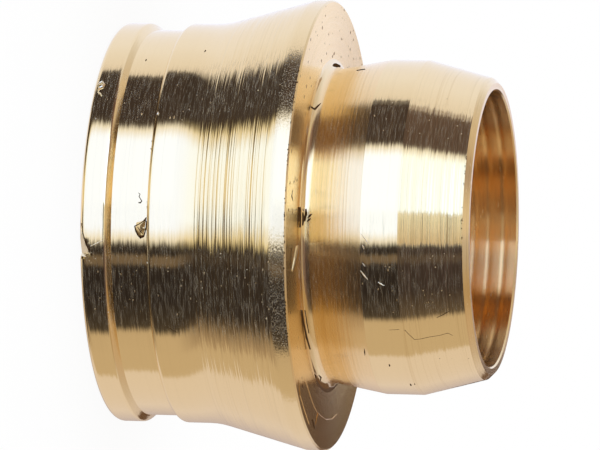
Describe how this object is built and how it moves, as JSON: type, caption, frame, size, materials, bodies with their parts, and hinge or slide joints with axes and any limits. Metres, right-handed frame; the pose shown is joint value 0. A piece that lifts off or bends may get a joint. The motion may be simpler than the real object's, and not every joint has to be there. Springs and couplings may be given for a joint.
{
  "type": "compression olive",
  "caption": "One-piece brass reducing compression olive: grooved spigot, conical flare with a flat shoulder, and a tapered nose with a ringed bore that is closed onto a smaller tube.",
  "frame": {"origin": "centre of the wide end face, on the turning axis, where the part stands", "axes": "+Z along the turning axis, from the wide spigot end towards the nose; the part is round about Z"},
  "size_m": [0.0247, 0.0246, 0.0207],
  "materials": {
    "turned_brass": "turned"
  },
  "bodies": {
    "root": {"reducing_olive": "turned_brass"}
  },
  "joints": []
}
